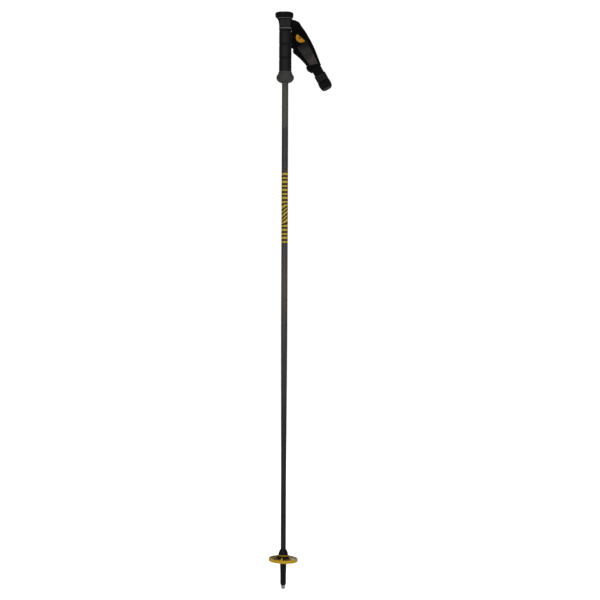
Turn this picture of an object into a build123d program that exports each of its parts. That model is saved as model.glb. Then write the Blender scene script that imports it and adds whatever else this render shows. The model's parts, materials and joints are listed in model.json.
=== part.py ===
from build123d import *
import math
import os

# Alpine ski pole in millimetres. The origin is the lowest point of the tip, on the
# pole's axis. +Z runs up the shaft, +X points to the side that the strap hangs on,
# and -Y is the side that the strap's badge faces.

os.makedirs("parts", exist_ok=True)

# ---- driving dimensions -------------------------------------------------------

POLE_LENGTH = 1250.0

TUBE_R_TOP = 7.0
TUBE_R_LOW = 5.6
TUBE_WALL = 0.9
TAPER_TOP_Z = 560.0
TAPER_LOW_Z = 240.0
TUBE_TOP_Z = 1208.0

CROWN_TOP_Z = 8.0
SHANK_R = 3.0
SHANK_TOP_Z = 32.0
FERRULE_FLOOR_Z = 36.0
FERRULE_TOP_Z = 85.6
CAP_SEAT_R = 6.2
CAP_SEAT_Z = (12.0, 30.0)
BASKET_SEAT_R = 6.9
BELL_R = 10.5
BELL_Z = 74.2

BASKET_R = 31.5
BASKET_BORE_R = 7.25
BASKET_Z = 64.4
BASKET_TILT = 1.8
RIM_WALL = 2.0
HUB_R = 11.6
BASKET_RAYS = 6
FIRST_RAY_ANGLE = -97.7

COLLAR_LOW_Z = 1097.0
COLLAR_TOP_Z = 1120.6
CORE_LOW_Z = 1103.0
SLEEVE_Z = (1119.6, 1212.8)
HEAD_Z = (1215.6, 1235.0)
NECK_TOP_Z = 1237.0
SLEEVE_SIZE = (26.9, 26.0, 10.5)
CORE_SIZE = (21.9, 21.0, 7.5)
HEAD_RIGHT_X = 14.2
GROOVE_Z = (1149.0, 1179.3, 1208.6)
CAP_OFFSET_X = -2.3
BADGE_R = 9.7

SLOT_Z = (1217.0, 1234.7)
SLOT_WIDTH = 4.8
SLOT_DEPTH_X = 3.5
STRAP_PIN_X = 8.0
STRAP_PIN_Z = 1225.8
STRAP_PIN_R = 1.5
SCREW_R = 2.0

# The strap is laid out along its own length: s runs down the strap, t across it
# towards its outer edge, and n out of its badge side.
STRAP_ANGLE = 29.0
STRAP_ORIGIN = (22.3, 0.0, 1223.2)
HINGE_X = 16.3
NECK_HALF = 1.8
BAND_S = (0.5, 99.0)
BAND_BOW = 4.8
WEBBING_T = (-17.0, 5.0)
WEBBING_THICK = 1.6
FRONT_WEB_N = (-1.5, 0.1)
REAR_WEB_N = (-5.1, -3.5)
REAR_BOW_N = -16.0
REAR_BOW_S = (20.0, 86.0)
TAB_S = (135.6, 156.6)
REACH = 60.0

# ---- planes -------------------------------------------------------------------

lean = math.radians(STRAP_ANGLE)
strap_down = Vector(math.sin(lean), 0, -math.cos(lean))
strap_across = Vector(math.cos(lean), 0, math.sin(lean))
FACE_PLANE = Plane(origin=STRAP_ORIGIN, x_dir=strap_down, z_dir=(0, -1, 0))
EDGE_PLANE = Plane(origin=STRAP_ORIGIN, x_dir=strap_down, z_dir=-strap_across)

tilt = math.radians(BASKET_TILT)
BASKET_PLANE = Plane(
    origin=(0, 0, BASKET_Z),
    x_dir=(math.cos(tilt), 0, -math.sin(tilt)),
    z_dir=(math.sin(tilt), 0, math.cos(tilt)),
)
BASKET_HALF_PLANE = Plane(
    origin=(0, 0, BASKET_Z),
    x_dir=(math.cos(tilt), 0, -math.sin(tilt)),
    z_dir=(0, -1, 0),
)
BASKET_AXIS = Axis((0, 0, BASKET_Z), (math.sin(tilt), 0, math.cos(tilt)))


def half_section(*points, plane=Plane.XZ):
    """Half section of a turned piece, from its corners as radius and height."""
    with BuildSketch(plane) as half:
        with BuildLine():
            Polyline(*points, close=True)
        make_face()
    return half.sketch


def soft_square(size, height, centre_x=0.0):
    """Level rounded rectangle: its width, depth and corner radius at a height."""
    width, depth, corner = size
    with BuildSketch(Plane.XY.offset(height)) as square:
        with Locations((centre_x, 0)):
            RectangleRounded(width, depth, corner)
    return square.sketch


# ---- shaft --------------------------------------------------------------------

with BuildPart() as shaft_tube:
    revolve(
        half_section(
            (TUBE_R_LOW - TUBE_WALL, FERRULE_FLOOR_Z),
            (TUBE_R_LOW, FERRULE_FLOOR_Z),
            (TUBE_R_LOW, TAPER_LOW_Z),
            (TUBE_R_TOP, TAPER_TOP_Z),
            (TUBE_R_TOP, TUBE_TOP_Z),
            (TUBE_R_TOP - TUBE_WALL, TUBE_TOP_Z),
            (TUBE_R_TOP - TUBE_WALL, TAPER_TOP_Z),
            (TUBE_R_LOW - TUBE_WALL, TAPER_LOW_Z),
        ),
        axis=Axis.Z,
    )
shaft_tube.part.label = "shaft_tube"
export_step(shaft_tube.part, "parts/shaft_tube.step")

with BuildPart() as shaft_plug:
    PLUG_DEPTH = 14.0
    PLUG_FLANGE = 1.2
    revolve(
        half_section(
            (SCREW_R, TUBE_TOP_Z - PLUG_DEPTH),
            (TUBE_R_TOP - TUBE_WALL, TUBE_TOP_Z - PLUG_DEPTH),
            (TUBE_R_TOP - TUBE_WALL, TUBE_TOP_Z),
            (TUBE_R_TOP, TUBE_TOP_Z),
            (TUBE_R_TOP, TUBE_TOP_Z + PLUG_FLANGE),
            (SCREW_R, TUBE_TOP_Z + PLUG_FLANGE),
        ),
        axis=Axis.Z,
    )
shaft_plug.part.label = "shaft_plug"
export_step(shaft_plug.part, "parts/shaft_plug.step")

# ---- tip ----------------------------------------------------------------------

with BuildPart() as tip_crown:
    CROWN_R_TOP = 4.45
    CROWN_R_LOW = 3.7
    CUP_R = 2.9
    CUP_DEPTH = 1.8
    FLUTE_COUNT = 8
    FLUTE_R = 0.8
    revolve(
        half_section(
            (0, CUP_DEPTH),
            (CUP_R, 0),
            (CROWN_R_LOW, 0.4),
            (CROWN_R_TOP, CROWN_TOP_Z - 1.0),
            (CROWN_R_TOP, CROWN_TOP_Z),
            (SHANK_R, CROWN_TOP_Z),
            (SHANK_R, SHANK_TOP_Z),
            (0, SHANK_TOP_Z),
        ),
        axis=Axis.Z,
    )
    with BuildSketch(Plane.XY):
        with PolarLocations(CROWN_R_TOP, FLUTE_COUNT):
            Circle(FLUTE_R)
    extrude(amount=CROWN_TOP_Z - 2.4, mode=Mode.SUBTRACT)
tip_crown.part.label = "tip_crown"
export_step(tip_crown.part, "parts/tip_crown.step")

with BuildPart() as tip_ferrule:
    BEAD_R = 7.35
    LIP_WALL = 0.5
    with BuildSketch(Plane.XZ):
        with BuildLine():
            foot = Polyline(
                (TUBE_R_LOW, FERRULE_TOP_Z),
                (TUBE_R_LOW, FERRULE_FLOOR_Z),
                (SHANK_R, FERRULE_FLOOR_Z),
                (SHANK_R, CROWN_TOP_Z),
                (5.2, CROWN_TOP_Z),
                (CAP_SEAT_R, CAP_SEAT_Z[0]),
                (CAP_SEAT_R, CAP_SEAT_Z[1]),
                (6.85, 52.0),
                (BEAD_R, 54.0),
                (BEAD_R, 55.4),
                (BASKET_SEAT_R, 56.4),
                (BASKET_SEAT_R, BELL_Z),
                (BELL_R, BELL_Z),
            )
            bell = ThreePointArc((BELL_R, BELL_Z), (9.2, 79.8), (TUBE_R_LOW + LIP_WALL, FERRULE_TOP_Z))
            Line(bell @ 1, foot @ 0)
        make_face()
    revolve(axis=Axis.Z)
tip_ferrule.part.label = "tip_ferrule"
export_step(tip_ferrule.part, "parts/tip_ferrule.step")

# ---- basket: heights are measured along its own axis from BASKET_Z ---------------

WEB_Z = (-3.4, -1.7)
RIM_TOP_Z = 2.0
RIM_LOW_Z = -4.8
HUB_TOP_Z = 8.8
SKIRT_LOW_Z = -7.2
PLATE_R = BASKET_R - RIM_WALL - 0.1
CONE = ((HUB_R, 7.4), (17.0, 4.7), (PLATE_R, 1.4))
CONE_THICK = 1.6
RAY_INNER_R = 15.0
RAY_HALF_WIDTH = 3.4
RAY_PROUD = 0.35
RAY_GAP = 0.4
RIDGE_RADII = (14.2, 18.6, 27.6)
RIDGE_WIDTH = 1.1
RIDGE_RISE = 0.8
SLOT_RADII = (16.4, 23.1)
SLOT_SWEEP = 36.0
WEB_SLOT_WIDTH = 2.6
OUTER_SLOT_WIDTH = 5.0


def cone_height(radius):
    """Height of the black cone's top face at a radius."""
    inner, outer = CONE[:2] if radius < CONE[1][0] else CONE[1:]
    share = (radius - inner[0]) / (outer[0] - inner[0])
    return inner[1] + share * (outer[1] - inner[1])


def rays(widen, height):
    """Pointed rays that run in from the rim, widened for a clearance hole."""
    outer_r = BASKET_R - RIM_WALL + RAY_GAP
    with BuildSketch(BASKET_PLANE.offset(height)) as ray_sketch:
        with PolarLocations(0, BASKET_RAYS, start_angle=FIRST_RAY_ANGLE):
            Polygon(
                (RAY_INNER_R - 2 * widen, 0.3 + widen),
                (RAY_INNER_R - 2 * widen, -0.3 - widen),
                (outer_r, -RAY_HALF_WIDTH - widen),
                (outer_r, RAY_HALF_WIDTH + widen),
            )
    return ray_sketch.sketch


def snow_slots(height):
    """Curved openings between the rays: a narrow inner one and a wide outer one."""
    start = 180 / BASKET_RAYS - SLOT_SWEEP / 2
    with BuildSketch(BASKET_PLANE.offset(height)) as slot_sketch:
        with PolarLocations(0, BASKET_RAYS, start_angle=FIRST_RAY_ANGLE):
            SlotArc(CenterArc((0, 0), SLOT_RADII[0], start, SLOT_SWEEP), height=WEB_SLOT_WIDTH)
            SlotArc(CenterArc((0, 0), SLOT_RADII[1], start, SLOT_SWEEP), height=OUTER_SLOT_WIDTH)
    return slot_sketch.sketch


with BuildPart() as ray_wedges:
    ray_low_z = WEB_Z[1] - 0.2
    extrude(rays(0.0, ray_low_z), amount=HUB_TOP_Z - ray_low_z)
    revolve(
        half_section(
            (0, ray_low_z - 1),
            (BASKET_R, ray_low_z - 1),
            (BASKET_R, CONE[2][1] + RAY_PROUD),
            (CONE[2][0], CONE[2][1] + RAY_PROUD),
            (CONE[1][0], CONE[1][1] + RAY_PROUD),
            (CONE[0][0], CONE[0][1] + RAY_PROUD),
            (0, CONE[0][1] + RAY_PROUD),
            plane=BASKET_HALF_PLANE,
        ),
        axis=BASKET_AXIS,
        mode=Mode.INTERSECT,
    )

with BuildPart() as basket_rim:
    revolve(
        half_section(
            (BASKET_BORE_R, SKIRT_LOW_Z),
            (8.7, SKIRT_LOW_Z),
            (12.4, WEB_Z[0]),
            (BASKET_R - RIM_WALL, WEB_Z[0]),
            (BASKET_R - RIM_WALL, RIM_LOW_Z),
            (BASKET_R - 0.9, RIM_LOW_Z),
            (BASKET_R, RIM_LOW_Z + 0.9),
            (BASKET_R, RIM_TOP_Z - 0.5),
            (BASKET_R - 0.5, RIM_TOP_Z),
            (BASKET_R - RIM_WALL, RIM_TOP_Z),
            (BASKET_R - RIM_WALL, WEB_Z[1]),
            (HUB_R, WEB_Z[1]),
            (HUB_R, HUB_TOP_Z - 0.5),
            (HUB_R - 0.5, HUB_TOP_Z),
            (BASKET_BORE_R, HUB_TOP_Z),
            plane=BASKET_HALF_PLANE,
        ),
        axis=BASKET_AXIS,
    )
    extrude(snow_slots(WEB_Z[0] - 1), amount=WEB_Z[1] - WEB_Z[0] + 2, mode=Mode.SUBTRACT)
    add(ray_wedges.part)
basket_rim.part.label = "basket_rim"
export_step(basket_rim.part, "parts/basket_rim.step")

with BuildPart() as basket_top:
    revolve(
        half_section(
            *CONE,
            *[(radius, height - CONE_THICK) for radius, height in reversed(CONE)],
            plane=BASKET_HALF_PLANE,
        ),
        axis=BASKET_AXIS,
    )
    for ridge_r in RIDGE_RADII:
        ridge_top = cone_height(ridge_r) + RIDGE_RISE
        ridge_in, ridge_out = ridge_r - RIDGE_WIDTH, ridge_r + RIDGE_WIDTH
        revolve(
            half_section(
                (ridge_in, cone_height(ridge_in) - 0.1),
                (ridge_out, cone_height(ridge_out) - 0.1),
                (ridge_r + RIDGE_WIDTH / 3, ridge_top),
                (ridge_r - RIDGE_WIDTH / 3, ridge_top),
                plane=BASKET_HALF_PLANE,
            ),
            axis=BASKET_AXIS,
        )
    cut_low_z = CONE[2][1] - CONE_THICK - 1
    extrude(rays(RAY_GAP, cut_low_z), amount=HUB_TOP_Z - cut_low_z + 2, mode=Mode.SUBTRACT)
    extrude(snow_slots(cut_low_z), amount=HUB_TOP_Z - cut_low_z + 2, mode=Mode.SUBTRACT)
basket_top.part.label = "basket_top"
export_step(basket_top.part, "parts/basket_top.step")

# ---- grip core, with the head block ---------------------------------------------

HEAD_SECTIONS = (
    # width, depth, corner radius, height, centre x
    (27.8, 26.0, 8.0, 1215.6, 0.3),
    (28.3, 26.0, 8.0, 1226.0, 0.05),
    (30.4, 26.6, 8.5, 1235.0, -1.0),
)
PANEL_SIZE = (22.4, 14.8, 1.6)
PANEL_X = -0.25
PANEL_Z = 1225.4
PANEL_RECESS_Y = 12.1
PANEL_THICK = 0.7
BORE_GAP = 0.02

with BuildPart() as grip_core:
    extrude(soft_square(CORE_SIZE, CORE_LOW_Z), amount=HEAD_Z[0] - CORE_LOW_Z)
    loft([soft_square(s[:3], s[3], s[4]) for s in HEAD_SECTIONS])
    with BuildSketch(Plane.XY.offset(CORE_LOW_Z)):
        Circle(TUBE_R_TOP + BORE_GAP)
    extrude(amount=TUBE_TOP_Z + PLUG_FLANGE - CORE_LOW_Z, mode=Mode.SUBTRACT)
    with BuildSketch(Plane.XY.offset(TUBE_TOP_Z)):
        Circle(SCREW_R + BORE_GAP)
    extrude(amount=40, mode=Mode.SUBTRACT)
    slot_end_x = HEAD_RIGHT_X + 6
    slot_centre = ((SLOT_DEPTH_X + slot_end_x) / 2, 0, (SLOT_Z[0] + SLOT_Z[1]) / 2)
    with Locations(slot_centre):
        Box(slot_end_x - SLOT_DEPTH_X, SLOT_WIDTH, SLOT_Z[1] - SLOT_Z[0], mode=Mode.SUBTRACT)
    for side in (-1, 1):
        with BuildSketch(Plane.XZ.offset(side * PANEL_RECESS_Y)):
            with Locations((PANEL_X, PANEL_Z)):
                RectangleRounded(*PANEL_SIZE)
        extrude(amount=side * 4, mode=Mode.SUBTRACT)
    with BuildSketch(Plane.XZ):
        with Locations((STRAP_PIN_X, STRAP_PIN_Z)):
            Circle(STRAP_PIN_R + BORE_GAP)
    extrude(amount=20, both=True, mode=Mode.SUBTRACT)
grip_core.part.label = "grip_core"
export_step(grip_core.part, "parts/grip_core.step")

# The two panels lie in the recesses of the head's flat sides.
for side, panel_name in ((1, "head_panel_front"), (-1, "head_panel_back")):
    with BuildPart() as head_panel:
        with BuildSketch(Plane.XZ.offset(side * PANEL_RECESS_Y)):
            with Locations((PANEL_X, PANEL_Z)):
                RectangleRounded(PANEL_SIZE[0] - 0.3, PANEL_SIZE[1] - 0.3, PANEL_SIZE[2] - 0.15)
        extrude(amount=side * PANEL_THICK)
    head_panel.part.label = panel_name
    export_step(head_panel.part, f"parts/{panel_name}.step")

with BuildPart() as strap_pin:
    with BuildSketch(Plane.XZ):
        with Locations((STRAP_PIN_X, STRAP_PIN_Z)):
            Circle(STRAP_PIN_R)
    extrude(amount=PANEL_RECESS_Y - 0.2, both=True)
strap_pin.part.label = "strap_pin"
export_step(strap_pin.part, "parts/strap_pin.step")

# ---- grip sleeve, collar and rings -----------------------------------------------

PAD_SIZE = (14.0, 24.0, 4.0)
PAD_RISE = 0.5
PAD_Z = [1194.0, 1164.2, 1134.6]
GROOVE_DEPTH = 0.6
GROOVE_HEIGHT = 1.6

with BuildPart() as grip_sleeve:
    sleeve_length = SLEEVE_Z[1] - SLEEVE_Z[0]
    extrude(soft_square(SLEEVE_SIZE, SLEEVE_Z[0]), amount=sleeve_length)
    fillet(grip_sleeve.faces().sort_by(Axis.Z)[-1].edges(), radius=0.7)
    for groove_z in GROOVE_Z:
        inner = (SLEEVE_SIZE[0] - 2 * GROOVE_DEPTH, SLEEVE_SIZE[1] - 2 * GROOVE_DEPTH)
        with BuildSketch(Plane.XY.offset(groove_z - GROOVE_HEIGHT / 2)):
            Rectangle(SLEEVE_SIZE[0] + 2, SLEEVE_SIZE[1] + 2)
            RectangleRounded(*inner, SLEEVE_SIZE[2] - GROOVE_DEPTH, mode=Mode.SUBTRACT)
        extrude(amount=GROOVE_HEIGHT, mode=Mode.SUBTRACT)
    for pad_z in PAD_Z:
        for side in (-1, 1):
            with BuildSketch(Plane.XZ.offset(side * (SLEEVE_SIZE[1] / 2 - 0.3))):
                with Locations((-1.0, pad_z)):
                    RectangleRounded(*PAD_SIZE)
            extrude(amount=side * (PAD_RISE + 0.3), taper=8)
    extrude(soft_square(CORE_SIZE, SLEEVE_Z[0]), amount=sleeve_length, mode=Mode.SUBTRACT)
grip_sleeve.part.label = "grip_sleeve"
export_step(grip_sleeve.part, "parts/grip_sleeve.step")

with BuildPart() as grip_collar:
    COLLAR_GROOVE_Z = 1113.6
    with BuildSketch(Plane.XZ):
        with BuildLine():
            base = Line((0, COLLAR_LOW_Z), (8.2, COLLAR_LOW_Z))
            bulge = Spline(
                base @ 1, (16.4, 1101.3), (19.2, 1107.6), (16.9, 1114.3), (14.6, COLLAR_TOP_Z),
                tangents=((1, 0.1), (-0.1, 1)),
            )
            Line(bulge @ 1, (0, COLLAR_TOP_Z))
            Line((0, COLLAR_TOP_Z), base @ 0)
        make_face()
    revolve(axis=Axis.Z)
    with BuildSketch(Plane.XY.offset(COLLAR_LOW_Z)):
        Circle(TUBE_R_TOP + BORE_GAP)
    extrude(amount=CORE_LOW_Z - COLLAR_LOW_Z, mode=Mode.SUBTRACT)
    extrude(soft_square(CORE_SIZE, CORE_LOW_Z), amount=40, mode=Mode.SUBTRACT)
    extrude(soft_square(SLEEVE_SIZE, SLEEVE_Z[0]), amount=10, mode=Mode.SUBTRACT)
    with BuildSketch(Plane.XZ):
        with Locations((17.9, COLLAR_GROOVE_Z)):
            Circle(0.8)
    revolve(axis=Axis.Z, mode=Mode.SUBTRACT)
grip_collar.part.label = "grip_collar"
export_step(grip_collar.part, "parts/grip_collar.step")

with BuildPart() as head_ring:
    extrude(soft_square((28.0, 27.0, 9.0), SLEEVE_Z[1], 0.2), amount=HEAD_Z[0] - SLEEVE_Z[1])
    fillet(head_ring.edges().filter_by(Plane.XY), radius=0.6)
    extrude(soft_square(CORE_SIZE, SLEEVE_Z[1]), amount=10, mode=Mode.SUBTRACT)
head_ring.part.label = "head_ring"
export_step(head_ring.part, "parts/head_ring.step")

with BuildPart() as cap_ring:
    extrude(soft_square((31.8, 28.0, 9.5), HEAD_Z[1], -1.2), amount=NECK_TOP_Z - HEAD_Z[1])
    fillet(cap_ring.edges().filter_by(Plane.XY), radius=0.5)
    with BuildSketch(Plane.XY.offset(HEAD_Z[1])):
        Circle(SCREW_R + BORE_GAP)
    extrude(amount=10, mode=Mode.SUBTRACT)
cap_ring.part.label = "cap_ring"
export_step(cap_ring.part, "parts/cap_ring.step")

# ---- cap -------------------------------------------------------------------------

CAP_SECTIONS = (
    # width, depth, corner radius, height, centre x
    (32.6, 28.6, 10.5, NECK_TOP_Z, -1.4),
    (37.4, 33.4, 13.5, 1239.8, -2.1),
    (39.5, 35.4, 15.0, 1243.6, CAP_OFFSET_X),
)
WASHER_Z = (1240.6, 1241.8)
SCREW_HEAD_TOP_Z = 1245.0
BADGE_Z = 1247.4

with BuildPart() as grip_cap:
    loft([soft_square(s[:3], s[3], s[4]) for s in CAP_SECTIONS])
    rim_section = soft_square(CAP_SECTIONS[2][:3], CAP_SECTIONS[2][3], CAP_OFFSET_X)
    extrude(rim_section, amount=POLE_LENGTH - 1.2 - CAP_SECTIONS[2][3])
    fillet(grip_cap.faces().sort_by(Axis.Z)[-1].edges(), radius=3.2)
    with BuildSketch(Plane.XY.offset(POLE_LENGTH - 1.3)):
        Circle(BADGE_R + 3.0)
    extrude(amount=1.3, taper=60)
    for well_r, well_z in ((BADGE_R, BADGE_Z), (8.2, WASHER_Z[0]), (SCREW_R + BORE_GAP, 1230)):
        with BuildSketch(Plane.XY.offset(well_z)):
            Circle(well_r)
        extrude(amount=30, mode=Mode.SUBTRACT)
grip_cap.part.label = "grip_cap"
export_step(grip_cap.part, "parts/grip_cap.step")

with BuildPart() as cap_badge:
    with BuildSketch(Plane.XY.offset(BADGE_Z)):
        Circle(BADGE_R - 0.1)
    extrude(amount=POLE_LENGTH - BADGE_Z)
    fillet(cap_badge.edges().group_by(Axis.Z)[-1], radius=0.5)
cap_badge.part.label = "cap_badge"
export_step(cap_badge.part, "parts/cap_badge.step")

with BuildPart() as cap_washer:
    with BuildSketch(Plane.XY.offset(WASHER_Z[0])):
        Circle(8.0)
        Circle(SCREW_R + 0.2, mode=Mode.SUBTRACT)
    extrude(amount=WASHER_Z[1] - WASHER_Z[0])
cap_washer.part.label = "cap_washer"
export_step(cap_washer.part, "parts/cap_washer.step")

with BuildPart() as cap_screw:
    SCREW_LOW_Z = 1197.0
    HEAD_R = 3.8
    SOCKET_R = 1.7
    revolve(
        half_section(
            (0, SCREW_LOW_Z),
            (SCREW_R, SCREW_LOW_Z),
            (SCREW_R, WASHER_Z[1]),
            (HEAD_R, WASHER_Z[1]),
            (HEAD_R, SCREW_HEAD_TOP_Z),
            (0, SCREW_HEAD_TOP_Z),
        ),
        axis=Axis.Z,
    )
    with BuildSketch(Plane.XY.offset(SCREW_HEAD_TOP_Z)):
        RegularPolygon(SOCKET_R, 6)
    extrude(amount=-1.8, mode=Mode.SUBTRACT)
cap_screw.part.label = "cap_screw"
export_step(cap_screw.part, "parts/cap_screw.step")

# ---- strap -----------------------------------------------------------------------
# Every layer of the band is one bowed ribbon, cut to its outline.

BAND_END = BAND_S[1]
LINING_N = (0.2, 1.2)
PADDING_N = (1.2, 4.0)
BINDING_N = (0.2, 4.6)
PANEL_N = (4.0, 4.8)
BADGE_N = (4.0, 4.9)
BINDING_WIDTH = 2.4


def bowed_ribbon(span, depths, bow):
    """Side view of a layer that bows towards the badge side between its ends."""
    (start, end), (near, far) = span, depths
    middle = (start + end) / 2
    with BuildSketch(EDGE_PLANE) as ribbon:
        with BuildLine():
            low = ThreePointArc((start, near), (middle, near + bow), (end, near))
            high = ThreePointArc((start, far), (middle, far + bow), (end, far))
            Line(low @ 0, high @ 0)
            Line(low @ 1, high @ 1)
        make_face()
    return ribbon.sketch


def band_outline(inset=0.0):
    """The band's leaf shape: narrow at the grip, widest a third of the way down."""
    with BuildSketch(FACE_PLANE) as outline:
        with BuildLine():
            outer = Spline(
                (BAND_S[0], 9.3 - inset), (25, 10.9 - inset), (50, 11.1 - inset),
                (75, 9.2 - inset), (BAND_END, 6.3 - inset),
            )
            beside_grip = Polyline(
                (BAND_S[0], -7.8 + inset), (6.0, -12.4 + inset), (37.0, -29.7 + inset)
            )
            notch = Spline(beside_grip @ 1, (42.4, -29.2 + inset), (47.6, -32.8 + inset))
            lower = Spline(
                (52.6, -33.9 + inset), (75, -26.0 + inset), (BAND_END, -20.6 + inset)
            )
            TangentArc(notch @ 1, lower @ 0, tangent=notch % 1)
            Line(outer @ 0, beside_grip @ 0)
            Line(outer @ 1, lower @ 1)
        make_face()
    return outline.sketch


def face_sketch(*corners, depth=0.0):
    """Closed outline in s and t, at a depth in front of the strap's mid plane."""
    with BuildSketch(FACE_PLANE.offset(depth)) as face:
        with BuildLine():
            Polyline(*corners, close=True)
        make_face()
    return face.sketch


with BuildPart() as strap_root:
    ROOT_X = (4.3, HEAD_RIGHT_X)
    ROOT_Z = (1217.6, 1234.2)
    root_centre = (sum(ROOT_X) / 2, 0, sum(ROOT_Z) / 2)
    with Locations(root_centre):
        Box(ROOT_X[1] - ROOT_X[0], 2 * NECK_HALF, ROOT_Z[1] - ROOT_Z[0])
    with BuildSketch(Plane.XZ):
        with Locations((STRAP_PIN_X, STRAP_PIN_Z)):
            Circle(STRAP_PIN_R + BORE_GAP)
    extrude(amount=10, both=True, mode=Mode.SUBTRACT)
strap_root.part.label = "strap_root"
export_step(strap_root.part, "parts/strap_root.step")

with BuildPart() as strap_neck:
    NECK_Z = (1220.8, 1234.2)
    with BuildSketch(Plane.XZ):
        with BuildLine():
            Polyline(
                (HINGE_X, NECK_Z[0]), (HINGE_X, NECK_Z[1]), (19.5, 1232.6), (27.5, 1228.8),
                (30.4, 1227.4), (22.3, 1223.0), close=True,
            )
        make_face()
    extrude(amount=NECK_HALF, both=True)
    with BuildSketch(Plane.XY.offset(NECK_Z[0])):
        with Locations((HINGE_X, 0)):
            Circle(NECK_HALF)
    extrude(amount=NECK_Z[1] - NECK_Z[0])
strap_neck.part.label = "strap_neck"
export_step(strap_neck.part, "parts/strap_neck.step")

with BuildPart() as strap_lining:
    extrude(bowed_ribbon(BAND_S, LINING_N, BAND_BOW), amount=REACH, both=True)
    extrude(band_outline(BINDING_WIDTH), amount=REACH, both=True, mode=Mode.INTERSECT)
strap_lining.part.label = "strap_lining"
export_step(strap_lining.part, "parts/strap_lining.step")

with BuildPart() as strap_band:
    extrude(bowed_ribbon(BAND_S, PADDING_N, BAND_BOW), amount=REACH, both=True)
    extrude(band_outline(BINDING_WIDTH), amount=REACH, both=True, mode=Mode.INTERSECT)
strap_band.part.label = "strap_band"
export_step(strap_band.part, "parts/strap_band.step")

for side, binding_name in ((1, "strap_binding_outer"), (-1, "strap_binding_inner")):
    with BuildPart() as strap_binding:
        extrude(bowed_ribbon(BAND_S, BINDING_N, BAND_BOW), amount=REACH, both=True)
        extrude(band_outline(), amount=REACH, both=True, mode=Mode.INTERSECT)
        extrude(band_outline(BINDING_WIDTH), amount=REACH, both=True, mode=Mode.SUBTRACT)
        half_field = face_sketch((-5, 0), (-5, side * REACH), (105, side * REACH), (105, 0))
        extrude(half_field, amount=REACH, both=True, mode=Mode.INTERSECT)
    strap_binding.part.label = binding_name
    export_step(strap_binding.part, f"parts/{binding_name}.step")

with BuildPart() as strap_panel:
    extrude(bowed_ribbon(BAND_S, PANEL_N, BAND_BOW), amount=REACH, both=True)
    panel_outline = face_sketch((50.4, -23.8), (48.9, 2.1), (76.5, 2.8), (98.6, 1.2), (94.1, -17.0))
    extrude(panel_outline, amount=REACH, both=True, mode=Mode.INTERSECT)
strap_panel.part.label = "strap_panel"
export_step(strap_panel.part, "parts/strap_panel.step")

with BuildPart() as strap_patch:
    PATCH_N = (PANEL_N[1], PANEL_N[1] + 0.4)
    extrude(bowed_ribbon(BAND_S, PATCH_N, BAND_BOW), amount=REACH, both=True)
    patch_outline = face_sketch((81.3, -15.4), (75.4, 2.0), (97.8, 0.6), (93.8, -15.8))
    extrude(patch_outline, amount=REACH, both=True, mode=Mode.INTERSECT)
strap_patch.part.label = "strap_patch"
export_step(strap_patch.part, "parts/strap_patch.step")

with BuildPart() as strap_badge:
    MEDAL_R = 11.6
    MEDAL_CENTRE = (31.2, -3.7, 0)
    MEDAL_TURN = 20.0
    extrude(bowed_ribbon(BAND_S, BADGE_N, BAND_BOW), amount=REACH, both=True)
    with BuildSketch(FACE_PLANE) as half_disc:
        with Locations(Location(MEDAL_CENTRE, (0, 0, MEDAL_TURN))):
            Circle(MEDAL_R)
            Rectangle(3 * MEDAL_R, 2 * MEDAL_R, align=(Align.CENTER, Align.MIN), mode=Mode.SUBTRACT)
        fillet(half_disc.vertices(), radius=1.2)
    extrude(half_disc.sketch, amount=REACH, both=True, mode=Mode.INTERSECT)
strap_badge.part.label = "strap_badge"
export_step(strap_badge.part, "parts/strap_badge.step")

# ---- strap webbing and its hardware ------------------------------------------------

FRONT_WEB_START = 86.0
LOOP_GAP = 0.4

with BuildPart() as strap_webbing:
    t_low, t_high = WEBBING_T
    front_web = face_sketch(
        (FRONT_WEB_START, t_low), (TAB_S[0], t_low), (TAB_S[0], t_high), (FRONT_WEB_START, t_high),
        depth=FRONT_WEB_N[0],
    )
    extrude(front_web, amount=FRONT_WEB_N[1] - FRONT_WEB_N[0])
strap_webbing.part.label = "strap_webbing"
export_step(strap_webbing.part, "parts/strap_webbing.step")

with BuildPart() as strap_return:
    bow_start, bow_end = REAR_BOW_S
    bow_middle = 51.0
    with BuildSketch(EDGE_PLANE):
        with BuildLine():
            inner_flat = Line((BAND_S[0], -0.2), (bow_start, -0.2))
            inner_bow = ThreePointArc(
                inner_flat @ 1, (bow_middle, REAR_BOW_N + WEBBING_THICK), (bow_end, REAR_WEB_N[1])
            )
            inner_run = Line(inner_bow @ 1, (TAB_S[0], REAR_WEB_N[1]))
            end = Line(inner_run @ 1, (TAB_S[0], REAR_WEB_N[0]))
            outer_run = Line(end @ 1, (bow_end, REAR_WEB_N[0]))
            outer_bow = ThreePointArc(
                outer_run @ 1, (bow_middle, REAR_BOW_N), (bow_start, -0.2 - WEBBING_THICK)
            )
            outer_flat = Line(outer_bow @ 1, (BAND_S[0], -0.2 - WEBBING_THICK))
            Line(outer_flat @ 1, inner_flat @ 0)
        make_face()
    extrude(amount=REACH, both=True)
    return_outline = face_sketch(
        (BAND_S[0], -6.6), (bow_start, -10.8), (bow_end, t_low), (TAB_S[0], t_low),
        (TAB_S[0], t_high), (bow_end, t_high), (bow_start, 9.6), (BAND_S[0], 8.8),
    )
    extrude(return_outline, amount=REACH, both=True, mode=Mode.INTERSECT)
strap_return.part.label = "strap_return"
export_step(strap_return.part, "parts/strap_return.step")

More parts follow.
